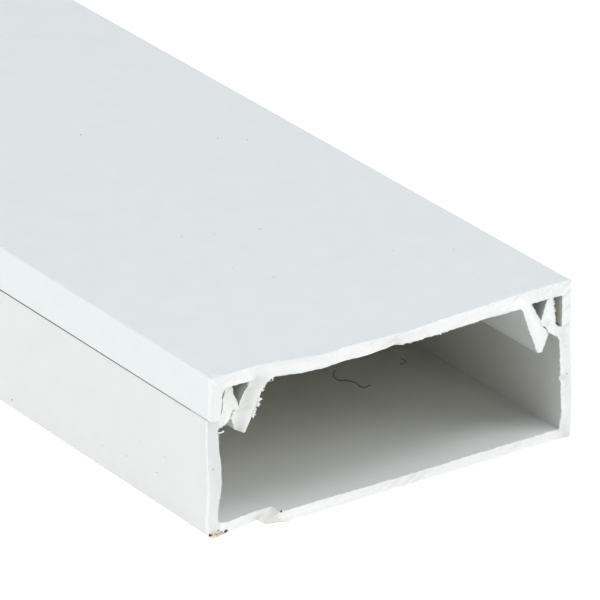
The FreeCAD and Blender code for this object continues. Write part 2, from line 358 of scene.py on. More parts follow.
def dragged(places, drags):
    """How far the blade moved each place, as (across, up)."""
    moved = np.zeros((len(places), 2))
    for across, height, reach, right, up in drags:
        share = np.exp(-((places[:, 0] - across) ** 2 + (places[:, 1] - height) ** 2) / reach ** 2)
        moved += share[:, None] * (right, up)
    return moved


# How many of each piece's first points lie along its sawn rim
RIM_COUNT = {}

# The triangles that lie inside the section are kept, and points nearer than this, in millimetres, merge
KEEP_INSIDE = 1
MERGE = 1e-6


def outer(places):
    """Whether each place lies on an outer side of the raceway or on the face of the lid."""
    return (np.abs(places[:, 0]) > SIDE - EDGE_BAND) | (places[:, 1] > HEIGHT - EDGE_BAND)


def within(places):
    """Whether each place faces the hollow of the raceway."""
    clear = (np.abs(places[:, 0]) < SIDE - WALL_THICK / 2) & (places[:, 1] > FLOOR_THICK - WELD)
    return clear & (places[:, 1] < UNDERSIDE + WELD)


def new_object(name, data):
    """A new object in the scene."""
    made = bpy.data.objects.new(name, data)
    bpy.context.scene.collection.objects.link(made)
    return made


def sawn_length(name, node, edges, bruises, drags, chip=None):
    """A length of extruded stock with its section as packed, sawn by hand at the near end."""
    loop = divide(section_loop(node), GRAIN_STEP)
    inside = inner_points(loop, GRAIN_STEP)
    if chip is not None:
        loop, inside = cross_chip(loop, chip), line_chip(inside, chip)
    count = len(loop)
    RIM_COUNT[name] = count
    places = np.concatenate([loop, inside])
    _, _, faces, origins, _, _ = delaunay_2d_cdt(
        [Vector(place) for place in places], [], [list(range(count))], KEEP_INSIDE, MERGE
    )
    depth = cut_depths(edges, places, chip)
    drag = dragged(places, drags)
    limit = np.where(outer(places), cut_depths(bruises, places, None), -1)
    inner = within(places)
    # The slots beside the legs take the hollow's painted shade tint in full at once
    leg_line = SLOT_ROOT + SLOT_LEAN * (UNDERSIDE - places[:, 1])
    slot = inner & (np.abs(places[:, 0]) > leg_line) & (places[:, 1] > SLOT_FOOT)
    outward = np.roll(loop, -1, axis=0) - np.roll(loop, 1, axis=0)
    outward = np.stack([outward[:, 1], -outward[:, 0]], axis=1)
    outward /= np.linalg.norm(outward, axis=1)[:, None]
    outward[np.abs(loop[:, 1] - SEAM) < CLOSED_SEAM] = 0

    verts, saw_share, whitened, hollow, rim = [], [], [], [], []

    def add_ring(part, spot_depth, spot_outward, travel):
        near_share = max(0, 1 - travel / SAW_REACH)
        far_share = FAR_SAW_SHARE * max(0, 1 - (LENGTH - travel) / SAW_REACH)
        moved = places[part] + drag[part] * math.exp(-(travel / DRAG_REACH) ** 2)
        whitened.extend(np.clip((limit[part] - spot_depth - travel) / BRUISE_BLUR + 0.5, 0, 1))
        # Share of the hollow's painted shade tint: it grows with depth from the cut and is full at once in
        # the slots
        hollow.extend(np.where(slot[part], 1, inner[part] * min(1, travel / SHADE_TINT_REACH)))
        for (across, height), back, (out_x, out_z) in zip(moved, spot_depth, spot_outward):
            along = NEAR_END + back + travel * (LENGTH - back) / LENGTH
            verts.append((across * MM, along * MM, height * MM))
            saw_share.append(near_share + far_share)
            rim.append((out_x, 0, out_z))

    travels = (*NEAR_RINGS, *(LENGTH - rest for rest in FAR_RINGS))
    for travel in travels:
        bead = RIM_BEAD * max(0, 1 - travel / BEAD_REACH)
        add_ring(slice(0, count), depth[:count] - bead, outward, travel)
    still = np.zeros((len(inside), 2))
    near_start = len(verts)
    add_ring(slice(count, None), depth[count:], still, travels[0])
    far_start = len(verts)
    add_ring(slice(count, None), depth[count:], still, travels[-1])

    polygons, sawn = [], []
    for ring in range(len(travels) - 1):
        for here in range(count):
            there = (here + 1) % count
            polygons.append((ring * count + here, (ring + 1) * count + here,
                             (ring + 1) * count + there, ring * count + there))
            sawn.append(False)
    last_ring = (len(travels) - 1) * count
    for face in faces:
        corners = [origins[corner][0] for corner in face]
        for order, rim_start, inner_start in (
            (corners, 0, near_start), (corners[::-1], last_ring, far_start),
        ):
            polygons.append(tuple(
                rim_start + corner if corner < count else inner_start + corner - count for corner in order
            ))
            sawn.append(True)

    mesh = bpy.data.meshes.new(name)
    mesh.from_pydata(verts, [], polygons)
    mesh.attributes.new("saw_share", "FLOAT", "POINT").data.foreach_set("value", saw_share)
    mesh.attributes.new("whitened", "FLOAT", "POINT").data.foreach_set("value", whitened)
    mesh.attributes.new("outward", "FLOAT_VECTOR", "POINT").data.foreach_set("vector", np.array(rim).ravel())
    mesh.attributes.new("hollow", "FLOAT", "POINT").data.foreach_set("value", hollow)
    mesh.attributes.new("sawn", "BOOLEAN", "FACE").data.foreach_set("value", sawn)
    return new_object(name, mesh)


def add(tree, kind, settings={}, inputs={}):
    """A new node with its settings. An input takes a constant, a socket or another node."""
    made = tree.nodes.new(kind)
    for name, value in settings.items():
        setattr(made, name, value)
    for key, value in inputs.items():
        if isinstance(value, bpy.types.Node):
            value = value.outputs[0]
        if isinstance(value, bpy.types.NodeSocket):
            tree.links.new(value, made.inputs[key])
        else:
            made.inputs[key].default_value = value
    return made


def linear(colour):
    """An sRGB hex colour as a linear RGBA tuple."""
    parts = [int(colour[at:at + 2], 16) / 255 for at in (1, 3, 5)]
    light = [part / 12.92 if part <= 0.04045 else ((part + 0.055) / 1.055) ** 2.4 for part in parts]
    return (*light, 1)


def new_material(name):
    """An empty node material with its Principled shader."""
    made = bpy.data.materials.new(name)
    made.use_nodes = True
    tree = made.node_tree
    return made, tree, tree.nodes["Principled BSDF"]


def mix_colour(tree, share, low, high):
    """The colour between two colours by a share."""
    mixed = add(tree, "ShaderNodeMix", {"data_type": "RGBA"}, {0: share, 6: low, 7: high})
    return mixed.outputs[2]


# The skin's tones: bruised beside the cut, a painted shade tint in the hollow, and painted shade on the
# rounded upper corners
BRUISED = "#E3E4E2"
HOLLOW_SHADE_TINT = "#E3E2D6"
HOLLOW_SHADE_TINT_MOTTLED = "#DAD9CD"
UPPER_CORNER_PAINTED_SHADE = "#CFD1D0"


def extruded_upvc(name, colour, shade):
    """Rigid PVC straight from the die: satin, nearly white, with faint die lines along its length, a painted
    shade tint in the hollow and painted shade on its rounded upper corners.
    """
    made, tree, shader = new_material(name)
    place = add(tree, "ShaderNodeTexCoord").outputs["Object"]
    # Die lines a quarter of a millimetre apart that run on for decimetres
    drawn = add(tree, "ShaderNodeMapping", inputs={"Vector": place, "Scale": (4000, 8, 4000)})
    lines = add(tree, "ShaderNodeTexNoise", inputs={
        "Vector": drawn, "Scale": 1.0, "Detail": 3.0, "Roughness": 0.6,
    })
    # The melt's own mottle, some two millimetres across, and a grain of an eighth of a millimetre
    mottle = add(tree, "ShaderNodeTexNoise", inputs={"Vector": place, "Scale": 420.0, "Detail": 2.0})
    grain = add(tree, "ShaderNodeTexNoise", inputs={"Vector": place, "Scale": 8000.0, "Detail": 1.0})
    speckle = add(tree, "ShaderNodeMath", {"operation": "MULTIPLY_ADD"}, {0: mottle, 1: 0.25, 2: grain})
    cloud = add(tree, "ShaderNodeMapRange", inputs={"Value": speckle, "From Min": 0.45, "From Max": 0.8})
    outside = mix_colour(tree, cloud, linear(colour), linear(shade))
    # Painted shade tint: the hollow is painted a little creamier than the faces outside, more so deeper in,
    # for the warm light bounced inside
    hollow = add(tree, "ShaderNodeAttribute", {"attribute_name": "hollow"}).outputs["Fac"]
    inside = mix_colour(tree, cloud, linear(HOLLOW_SHADE_TINT), linear(HOLLOW_SHADE_TINT_MOTTLED))
    body = mix_colour(tree, hollow, outside, inside)
    # Bruised white beside the cut, with a ragged limit
    near_cut = add(tree, "ShaderNodeAttribute", {"attribute_name": "whitened"}).outputs["Fac"]
    ragged = add(tree, "ShaderNodeTexNoise", inputs={"Vector": place, "Scale": 1500.0, "Detail": 3.0})
    limit = add(tree, "ShaderNodeMath", {"operation": "MULTIPLY_ADD"}, {0: ragged, 1: 0.5, 2: near_cut})
    bruise = add(tree, "ShaderNodeMapRange", inputs={"Value": limit, "From Min": 0.6, "From Max": 0.9})
    body = mix_colour(tree, bruise, body, linear(BRUISED))
    # Painted shade on the rounded upper corners, where the normal faces both up and aside, to damp the
    # highlight that the lamps put along them
    normal = add(tree, "ShaderNodeTexCoord").outputs["Normal"]
    facing = add(tree, "ShaderNodeSeparateXYZ", inputs={0: normal}).outputs
    aside = add(tree, "ShaderNodeMath", {"operation": "ABSOLUTE"}, {0: facing["X"]})
    corner = add(tree, "ShaderNodeMath", {"operation": "MULTIPLY"}, {0: aside, 1: facing["Z"]})
    corner_shade = add(tree, "ShaderNodeMapRange", inputs={"Value": corner, "From Min": 0.05, "From Max": 0.45})
    body = mix_colour(tree, corner_shade.outputs[0], body, linear(UPPER_CORNER_PAINTED_SHADE))
    tree.links.new(body, shader.inputs["Base Color"])
    gloss = add(tree, "ShaderNodeMapRange", inputs={"Value": lines, "To Min": 0.36, "To Max": 0.5})
    tree.links.new(gloss.outputs[0], shader.inputs["Roughness"])
    # The same grain stands up a little, under the die lines
    height = add(tree, "ShaderNodeMath", {"operation": "MULTIPLY_ADD"}, {0: lines, 1: 0.6, 2: grain})
    bump = add(tree, "ShaderNodeBump", inputs={"Height": height, "Strength": 0.12, "Distance": 0.00003})
    tree.links.new(bump.outputs[0], shader.inputs["Normal"])
    shader.inputs["IOR"].default_value = 1.53
    return made


# Over how many millimetres a stain sets in on its left, and thins out on its right
STAIN_START = 0.2
STAIN_END = 0.4

# Over how many millimetres the painted shade on the left wall's sawn face sets in
LEFT_WALL_SHADE_FADE = 0.3


def stain(tree, place, left, right, top):
    """The share of a ragged stain on the sawn face, between two places across and up to a height."""
    part = add(tree, "ShaderNodeSeparateXYZ", inputs={0: place}).outputs
    limits = [
        add(tree, "ShaderNodeMapRange", inputs={
            "Value": part[axis], "From Min": empty * MM, "From Max": full * MM,
        })
        for axis, empty, full in (
            ("X", left, left + STAIN_START), ("X", right, right - STAIN_END), ("Z", top, top / 2),
        )
    ]
    # Flecks a third of a millimetre across
    flecks = add(tree, "ShaderNodeTexNoise", inputs={"Vector": place, "Scale": 3000.0, "Detail": 3.0})
    ragged = add(tree, "ShaderNodeMapRange", inputs={"Value": flecks, "From Min": 0.45, "From Max": 0.55})
    share = ragged
    for limit in limits:
        share = add(tree, "ShaderNodeMath", {"operation": "MULTIPLY"}, {0: share, 1: limit})
    return share


def sawn_upvc(name, colour, streak, left_wall_shade, tilt, stains):
    """PVC torn by a hacksaw: matt and whitened, with thin smears of blade dirt drawn across it, and painted
    shade on the left wall's sawn face.
    """
    made, tree, shader = new_material(name)
    place = add(tree, "ShaderNodeTexCoord").outputs["Object"]
    turned = add(tree, "ShaderNodeVectorRotate", {"rotation_type": "Y_AXIS"}, {
        "Vector": place, "Angle": tilt,
    })
    # Strokes a quarter of a millimetre apart and three or four millimetres long
    stretched = add(tree, "ShaderNodeMapping", inputs={"Vector": turned, "Scale": (300, 300, 4000)})
    strokes = add(tree, "ShaderNodeTexNoise", inputs={
        "Vector": stretched, "Scale": 1.0, "Detail": 3.0, "Roughness": 0.6,
    })
    # The blade cleans itself in places, three millimetres and more across
    patches = add(tree, "ShaderNodeTexNoise", inputs={"Vector": place, "Scale": 320.0, "Detail": 2.0})
    thin = add(tree, "ShaderNodeMapRange", inputs={"Value": strokes, "From Min": 0.5, "From Max": 0.75})
    dirty = add(tree, "ShaderNodeMapRange", inputs={"Value": patches, "From Min": 0.42, "From Max": 0.62})
    smear = add(tree, "ShaderNodeMath", {"operation": "MULTIPLY"}, {0: thin, 1: dirty})
    face = mix_colour(tree, smear, linear(colour), linear(streak))
    # Painted shade: the left wall's sawn face is painted a little darker
    across = add(tree, "ShaderNodeSeparateXYZ", inputs={0: place}).outputs["X"]
    left_wall_share = add(tree, "ShaderNodeMapRange", inputs={
        "Value": across, "From Min": (LEFT_WALL_SHADE_FADE - INNER_WALL) * MM, "From Max": -INNER_WALL * MM,
    })
    face = mix_colour(tree, left_wall_share.outputs[0], face, linear(left_wall_shade))
    for stain_colour, left, right, top in stains:
        face = mix_colour(tree, stain(tree, place, left, right, top), face, linear(stain_colour))
    tree.links.new(face, shader.inputs["Base Color"])
    bump = add(tree, "ShaderNodeBump", inputs={"Height": strokes, "Strength": 0.25, "Distance": 0.00005})
    tree.links.new(bump.outputs[0], shader.inputs["Normal"])
    shader.inputs["Roughness"].default_value = 0.6
    shader.inputs["IOR"].default_value = 1.53
    return made


def new_geometry_tree(name, inputs):
    """A geometry tree with a mesh in and out and its own named inputs."""
    tree = bpy.data.node_groups.new(name, "GeometryNodeTree")
    for label, kind in [("Geometry", "NodeSocketGeometry"), *inputs]:
        tree.interface.new_socket(label, in_out="INPUT", socket_type=kind)
    tree.interface.new_socket("Geometry", in_out="OUTPUT", socket_type="NodeSocketGeometry")
    return tree, add(tree, "NodeGroupInput").outputs, tree.nodes.new("NodeGroupOutput")


def worked_out(piece, tree, values):
    """The piece with a geometry tree's result as its own plain mesh."""
    modifier = piece.modifiers.new(tree.name, "NODES")
    modifier.node_group = tree
    sockets = {item.name: item.identifier for item in tree.interface.items_tree if item.in_out == "INPUT"}
    for label, value in values.items():
        modifier[sockets[label]] = value
    evaluated = piece.evaluated_get(bpy.context.evaluated_depsgraph_get())
    mesh = bpy.data.meshes.new_from_object(evaluated)
    mesh.name = piece.name
    piece.modifiers.clear()
    piece.data = mesh
    return piece


# The marks are the same all along the length, and the strokes are drawn out ten times across it
FLAT = (1, 0, 1)
STROKE_STRETCH = (0.1, 0, 1)

# The noise's middle, from which strokes and tears go both ways, and the burr's, which stands out more
NOISE_MIDDLE = 0.5
BURR_MIDDLE = 0.42


def saw_marks_tree():
    """Moves the points at a sawn end by the strokes and tears of the blade, and gives both finishes."""
    tree, given, result = new_geometry_tree("saw_marks", [
        ("Stroke Spacing", "NodeSocketFloat"), ("Stroke Depth", "NodeSocketFloat"),
        ("Stroke Tilt", "NodeSocketFloat"), ("Tear Size", "NodeSocketFloat"),
        ("Tear Depth", "NodeSocketFloat"), ("Burr", "NodeSocketFloat"), ("Seed", "NodeSocketFloat"),
        ("Extruded", "NodeSocketMaterial"), ("Sawn", "NodeSocketMaterial"),
    ])
    place = add(tree, "GeometryNodeInputPosition")
    flat = add(tree, "ShaderNodeVectorMath", {"operation": "MULTIPLY"}, {0: place, 1: FLAT})
    turned = add(tree, "ShaderNodeVectorRotate", {"rotation_type": "Y_AXIS"}, {
        "Vector": flat, "Angle": given["Stroke Tilt"],
    })
    stretched = add(tree, "ShaderNodeVectorMath", {"operation": "MULTIPLY"}, {0: turned, 1: STROKE_STRETCH})
    pitch = add(tree, "ShaderNodeMath", {"operation": "DIVIDE"}, {0: 1.0, 1: given["Stroke Spacing"]})
    strokes = add(tree, "ShaderNodeTexNoise", {"noise_dimensions": "4D"}, {
        "Vector": stretched, "W": given["Seed"], "Scale": pitch, "Detail": 3.0,
    })
    size = add(tree, "ShaderNodeMath", {"operation": "DIVIDE"}, {0: 1.0, 1: given["Tear Size"]})
    tears = add(tree, "ShaderNodeTexNoise", {"noise_dimensions": "4D"}, {
        "Vector": flat, "W": given["Seed"], "Scale": size, "Detail": 3.0,
    })
    stroke_swing = add(tree, "ShaderNodeMath", {"operation": "SUBTRACT"}, {0: strokes, 1: NOISE_MIDDLE})
    stroke_depth = add(tree, "ShaderNodeMath", {"operation": "MULTIPLY"}, {
        0: stroke_swing, 1: given["Stroke Depth"],
    })
    tear_swing = add(tree, "ShaderNodeMath", {"operation": "SUBTRACT"}, {0: tears, 1: NOISE_MIDDLE})
    depth = add(tree, "ShaderNodeMath", {"operation": "MULTIPLY_ADD"}, {
        0: tear_swing, 1: given["Tear Depth"], 2: stroke_depth,
    })
    share = add(tree, "GeometryNodeInputNamedAttribute", {"data_type": "FLOAT"}, {"Name": "saw_share"})
    outward = add(tree, "GeometryNodeInputNamedAttribute", {"data_type": "FLOAT_VECTOR"}, {"Name": "outward"})
    burr_swing = add(tree, "ShaderNodeMath", {"operation": "SUBTRACT"}, {0: tears, 1: BURR_MIDDLE})
    pushed = add(tree, "ShaderNodeMath", {"operation": "MULTIPLY"}, {0: burr_swing, 1: given["Burr"]})
    burr = add(tree, "ShaderNodeVectorMath", {"operation": "SCALE"}, {0: outward, "Scale": pushed})
    back = add(tree, "ShaderNodeCombineXYZ", inputs={"Y": depth})
    both = add(tree, "ShaderNodeVectorMath", {"operation": "ADD"}, {0: burr, 1: back})
    offset = add(tree, "ShaderNodeVectorMath", {"operation": "SCALE"}, {0: both, "Scale": share})
    moved = add(tree, "GeometryNodeSetPosition", inputs={"Geometry": given["Geometry"], "Offset": offset})
    skin = add(tree, "GeometryNodeSetMaterial", inputs={"Geometry": moved, "Material": given["Extruded"]})
    sawn = add(tree, "GeometryNodeInputNamedAttribute", {"data_type": "BOOLEAN"}, {"Name": "sawn"})
    cut = add(tree, "GeometryNodeSetMaterial", inputs={
        "Geometry": skin, "Selection": sawn, "Material": given["Sawn"],
    })
    whole = add(tree, "GeometryNodeRealizeInstances", inputs={"Geometry": cut})
    tree.links.new(whole.outputs[0], result.inputs[0])
    return tree


# The least and the most that a crumb is stretched each way, and how far its skin is out of round
CRUMB_LEAST = (0.6, 0.6, 0.6)
CRUMB_MOST = (1.3, 1.3, 1.3)
CRUMB_UNEVENNESS = 0.08 * MM


def crumbs_tree():
    """An irregular crumb at each given point, as large as the point says."""
    tree, given, result = new_geometry_tree("crumbs", [
        ("Unevenness", "NodeSocketFloat"), ("Seed", "NodeSocketInt"), ("Material", "NodeSocketMaterial"),
    ])
    ball = add(tree, "GeometryNodeMeshIcoSphere", inputs={"Radius": 0.5, "Subdivisions": 2})
    size = add(tree, "GeometryNodeInputNamedAttribute", {"data_type": "FLOAT"}, {"Name": "size"})
    turn = add(tree, "FunctionNodeRandomValue", {"data_type": "FLOAT_VECTOR"}, {
        1: (math.tau,) * 3, "Seed": given["Seed"],
    })
    squash = add(tree, "FunctionNodeRandomValue", {"data_type": "FLOAT_VECTOR"}, {
        0: CRUMB_LEAST, 1: CRUMB_MOST, "Seed": given["Seed"],
    })
    scale = add(tree, "ShaderNodeVectorMath", {"operation": "SCALE"}, {0: squash, "Scale": size})
    crumbs = add(tree, "GeometryNodeInstanceOnPoints", inputs={
        "Points": given["Geometry"], "Instance": ball, "Rotation": turn, "Scale": scale,
    })
    whole = add(tree, "GeometryNodeRealizeInstances", inputs={"Geometry": crumbs})
    # Lumps a tenth of a millimetre across
    place = add(tree, "GeometryNodeInputPosition")
    lumps = add(tree, "ShaderNodeTexNoise", inputs={"Vector": place, "Scale": 10000.0})
    off = add(tree, "ShaderNodeVectorMath", {"operation": "SUBTRACT"}, {
        0: lumps.outputs["Color"], 1: (NOISE_MIDDLE,) * 3,
    })
    push = add(tree, "ShaderNodeVectorMath", {"operation": "SCALE"}, {0: off, "Scale": given["Unevenness"]})
    uneven = add(tree, "GeometryNodeSetPosition", inputs={"Geometry": whole, "Offset": push})
    painted = add(tree, "GeometryNodeSetMaterial", inputs={"Geometry": uneven, "Material": given["Material"]})
    tree.links.new(painted.outputs[0], result.inputs[0])
    return tree


# How many steps a fibre has along it, and how many sides round it
FIBRE_STEPS = 80
FIBRE_SIDES = 6


def fibre_tree():
    """A thin round fibre that curls through the given points."""
    tree, given, result = new_geometry_tree("fibre", [
        ("Radius", "NodeSocketFloat"), ("Material", "NodeSocketMaterial"),
    ])
    path = add(tree, "GeometryNodeMeshToCurve", inputs={"Mesh": given["Geometry"]})
    curled = add(tree, "GeometryNodeCurveSplineType", {"spline_type": "CATMULL_ROM"}, {"Curve": path})
    fine = add(tree, "GeometryNodeResampleCurve", inputs={"Curve": curled, "Count": FIBRE_STEPS})
    ring = add(tree, "GeometryNodeCurvePrimitiveCircle", inputs={
        "Resolution": FIBRE_SIDES, "Radius": given["Radius"],
    })
    tube = add(tree, "GeometryNodeCurveToMesh", inputs={
        "Curve": fine, "Profile Curve": ring, "Fill Caps": True,
    })
    whole = add(tree, "GeometryNodeRealizeInstances", inputs={"Geometry": tube})
    painted = add(tree, "GeometryNodeSetMaterial", inputs={"Geometry": whole, "Material": given["Material"]})
    tree.links.new(painted.outputs[0], result.inputs[0])
    return tree


# A sliver's radius at its tip and its foot, as shares of its length, and the least and the most that it
# is stretched: across, across and along
SLIVER_TIP = 0.04
SLIVER_FOOT = 0.45
SLIVER_LEAST = (0.5, 0.5, 0.7)
SLIVER_MOST = (1.2, 1.2, 1.3)


def slivers_tree():
    """A pointed sliver standing out from each given point along the point's own direction."""
    tree, given, result = new_geometry_tree("slivers", [
        ("Seed", "NodeSocketInt"), ("Material", "NodeSocketMaterial"),
    ])
    cone = add(tree, "GeometryNodeMeshCone", inputs={
        "Vertices": 5, "Radius Top": SLIVER_TIP, "Radius Bottom": SLIVER_FOOT, "Depth": 1.0,
    })
    size = add(tree, "GeometryNodeInputNamedAttribute", {"data_type": "FLOAT"}, {"Name": "size"})
    outward = add(tree, "GeometryNodeInputNamedAttribute", {"data_type": "FLOAT_VECTOR"}, {"Name": "outward"})
    turn = add(tree, "FunctionNodeAlignRotationToVector", {"axis": "Z"}, {"Vector": outward})
    spread = add(tree, "FunctionNodeRandomValue", {"data_type": "FLOAT_VECTOR"}, {
        0: SLIVER_LEAST, 1: SLIVER_MOST, "Seed": given["Seed"],
    })
    scale = add(tree, "ShaderNodeVectorMath", {"operation": "SCALE"}, {0: spread, "Scale": size})
    torn = add(tree, "GeometryNodeInstanceOnPoints", inputs={
        "Points": given["Geometry"], "Instance": cone, "Rotation": turn, "Scale": scale,
    })
    whole = add(tree, "GeometryNodeRealizeInstances", inputs={"Geometry": torn})
    painted = add(tree, "GeometryNodeSetMaterial", inputs={"Geometry": whole, "Material": given["Material"]})
    tree.links.new(painted.outputs[0], result.inputs[0])
    return tree


def plain_material(name, colour, roughness):
    """One even colour."""
    made, _, shader = new_material(name)
    shader.inputs["Base Color"].default_value = linear(colour)
    shader.inputs["Roughness"].default_value = roughness
    return made


def point_piece(name, spots, edges=(), sizes=None, directions=None):
    """Points at (across, depth from the near end, height), with their sizes and directions."""
    mesh = bpy.data.meshes.new(name)
    places = [(across * MM, (NEAR_END + along) * MM, height * MM) for across, along, height in spots]
    mesh.from_pydata(places, edges, [])
    if sizes is not None:
        lengths = [size * MM for size in sizes]
        mesh.attributes.new("size", "FLOAT", "POINT").data.foreach_set("value", lengths)
    if directions is not None:
        flat = [part for direction in directions for part in direction]
        mesh.attributes.new("outward", "FLOAT_VECTOR", "POINT").data.foreach_set("vector", flat)
    return new_object(name, mesh)


# Faces that meet at more than this angle keep a hard edge between them
CREASE = math.radians(32)


def finish_piece(piece, body):
    """Smooth shading between creases, and the body that the piece belongs to."""
    mesh = piece.data
    mesh.polygons.foreach_set("use_smooth", [True] * len(mesh.polygons))
    mesh.set_sharp_from_angle(angle=CREASE)
    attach(piece, body)
    return piece


# The lid is painted a little cooler than the channel: a painted tint for the cool light that falls on its top
LID_UPVC = extruded_upvc("extruded_upvc_lid", "#DFE1E0", "#D8DAD9")
CHANNEL_UPVC = extruded_upvc("extruded_upvc_channel", "#DDDCDB", "#D6D5D4")
# The third colour of each sawn finish is the painted shade of its left wall's sawn face
SAWN_LID = sawn_upvc("sawn_upvc_lid", "#F4F3F0", "#DCD8CC", "#F0EFED", 0.45, [])
SAWN_CHANNEL = sawn_upvc("sawn_upvc_channel", "#F6F5F2", "#E4E1D9", "#E5E4E1", 0.5, [
    ("#E2C9B4", -20.2, -17.9, 0.5), ("#EADFC8", -14.3, -11.6, 0.08),
])
SAW_MARKS = saw_marks_tree()

lid = sawn_length("lid", "clip_lid", LID_CUT, LID_BRUISE, LID_DRAGS)
lid = worked_out(lid, SAW_MARKS, {
    "Stroke Spacing": 0.35 * MM, "Stroke Depth": 0.05 * MM, "Stroke Tilt": 0.45, "Tear Size": 0.4 * MM,
    "Tear Depth": 0.09 * MM, "Burr": 0.24 * MM, "Seed": 1.0, "Extruded": LID_UPVC, "Sawn": SAWN_LID,
})
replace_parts(finish_piece(lid, "lid"), "clip_lid")

channel = sawn_length("channel", "base_channel", CHANNEL_CUT, CHANNEL_BRUISE, CHANNEL_DRAGS, CHIP_LINE)
channel = worked_out(channel, SAW_MARKS, {
    "Stroke Spacing": 0.4 * MM, "Stroke Depth": 0.035 * MM, "Stroke Tilt": 0.5, "Tear Size": 0.4 * MM,
    "Tear Depth": 0.07 * MM, "Burr": 0.2 * MM, "Seed": 2.0, "Extruded": CHANNEL_UPVC, "Sawn": SAWN_CHANNEL,
})
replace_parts(finish_piece(channel, "channel"), "base_channel")

# What has settled on the raceway, in even colours, because each crumb is a tenth of a millimetre or two
DUST = plain_material("workshop_dust", "#A09D95", 0.9)
GRIME = plain_material("blade_grime", "#2A1D14", 0.7)
SAWDUST = plain_material("tan_sawdust", "#E0C6A8", 0.9)
FIBRE = plain_material("lint_fibre", "#66635A", 0.9)

# Every crumb: across, depth from the near end, height, size. First the workshop dust on the outer faces
LID_DUST = [
    (-1.7, 29.2, 16, 0.12), (-4.6, 30.3, 16, 0.12), (13.8, 47.4, 16, 0.17), (11.7, 49.4, 16, 0.15),
    (1, 57.4, 16, 0.17), (2.5, 27.9, 16, 0.12), (10, 16.6, 16, 0.12), (-2.7, 17.5, 16, 0.11),
    (-8, 18.7, 16, 0.1), (-4.7, 21.4, 16, 0.1), (15, 13.8, 16, 0.11), (19.75, 1.9, 15.9, 0.16),
]
CHANNEL_DUST = [
    (-20, 19.9, 2.3, 0.13), (-20, 15.7, 2.8, 0.11), (-20, 10.6, 3.1, 0.1), (-20, 36.1, 0.9, 0.16),
    (-20, 13.3, 5.2, 0.1), (-20, 9.2, 5.2, 0.09), (-19.6, 1.7, 6.7, 0.1), (-19.85, 1.85, 3.4, 0.12),
    (-19.95, 1.85, 7, 0.09), (19.5, 1.6, 6.7, 0.15), (-14.6, 2.55, 0.3, 0.07),
]

# Dark grime and tan sawdust that the blade packed into the bottom corner and the chip
CHANNEL_GRIME = [
    (-19.9, 1.85, 0.15, 0.27), (-19.75, 1.8, 0.1, 0.18), (-18.3, 1.75, 0.15, 0.23), (-18.1, 1.8, 0.17, 0.2),
    (-18.7, 1.65, 0.25, 0.14), (-19.1, 1.65, 0.5, 0.13), (-19.3, 1.6, 0.15, 0.1), (-12.65, 1.1, 0.98, 0.2),
]
CHANNEL_SAWDUST = [
    (-19.7, 1.45, 0.06, 0.22), (-19.5, 1.4, 0.05, 0.2), (-19.3, 1.45, 0.06, 0.18), (-19.1, 1.6, 0.1, 0.18),
    (-18.9, 1.55, 0.1, 0.16), (-18.6, 1.6, 0.1, 0.15), (-18.45, 1.65, 0.1, 0.14), (-19.85, 1.6, 0.05, 0.16),
    (-13.9, 1.2, 0.06, 0.1), (-13.6, 1.15, 0.06, 0.08), (-13.3, 1.1, 0.06, 0.1), (-12.5, 0.75, 0.06, 0.09),
]
CRUMBS = crumbs_tree()
for name, body, spots, seed, paint in (
    ("lid_dust", "lid", LID_DUST, 1, DUST),
    ("channel_dust", "channel", CHANNEL_DUST, 2, DUST),
    ("channel_grime", "channel", CHANNEL_GRIME, 3, GRIME),
    ("channel_sawdust", "channel", CHANNEL_SAWDUST, 4, SAWDUST),
):
    scattered = point_piece(name, [spot[:3] for spot in spots], sizes=[spot[3] for spot in spots])
    crumbs = worked_out(scattered, CRUMBS, {"Unevenness": CRUMB_UNEVENNESS, "Seed": seed, "Material": paint})
    finish_piece(crumbs, body)

FIBRES = fibre_tree()


def strand(name, spots, radius, paint):
    """A thin round strand through the given spots."""
    line = point_piece(name, spots, [(at, at + 1) for at in range(len(spots) - 1)])
    return worked_out(line, FIBRES, {"Radius": radius * MM, "Material": paint})


# A fibre of lint on the floor of the channel, and a second fainter curl, as (across, depth), with their radii
LINT_LIFT = 0.05
LINT = [(9, 24.8), (8.2, 23.8), (8, 22.7), (8.6, 22.2), (9, 21.3), (8.9, 20.5), (9.1, 19.9), (9.9, 20.1)]
LINT_RADIUS = 0.04
CURL = [(15.8, 23.7), (15.8, 22.8), (14.9, 22.5)]
CURL_RADIUS = 0.03
for name, points, radius in (("lint", LINT, LINT_RADIUS), ("lint_curl", CURL, CURL_RADIUS)):
    spots = [(across, along, FLOOR_THICK + LINT_LIFT) for across, along in points]
    finish_piece(strand(name, spots, radius, FIBRE), "channel")

# Painted shade in the seam: a grey strip stands in for the shadow in the gap, dark along the length and
# lighter near the cut
SEAM_SHADE_START = 5
SEAM_SHADE_FULL = 30
SEAM_SHADE_MATERIAL, tree, shader = new_material("painted_seam_shade")
place = add(tree, "ShaderNodeTexCoord").outputs["Object"]
down_length = add(tree, "ShaderNodeSeparateXYZ", inputs={0: place}).outputs["Y"]
deeper = add(tree, "ShaderNodeMapRange", inputs={
    "Value": down_length, "From Min": (NEAR_END + SEAM_SHADE_START) * MM, "From Max": (NEAR_END + SEAM_SHADE_FULL) * MM,
})
seam_shade_colour = mix_colour(tree, deeper.outputs[0], linear("#9A9892"), linear("#66645E"))
tree.links.new(seam_shade_colour, shader.inputs["Base Color"])
shader.inputs["Roughness"].default_value = 0.95

# Where the painted shade strip lies: how far behind the outer side, how far under the seam, and how short of
# the far end
SEAM_SHADE_BACK = 0.25
SEAM_SHADE_FRONT = 0.005
SEAM_SHADE_FOOT = 0.06
SEAM_SHADE_TOP = 0.012
SEAM_SHADE_END = 0.1

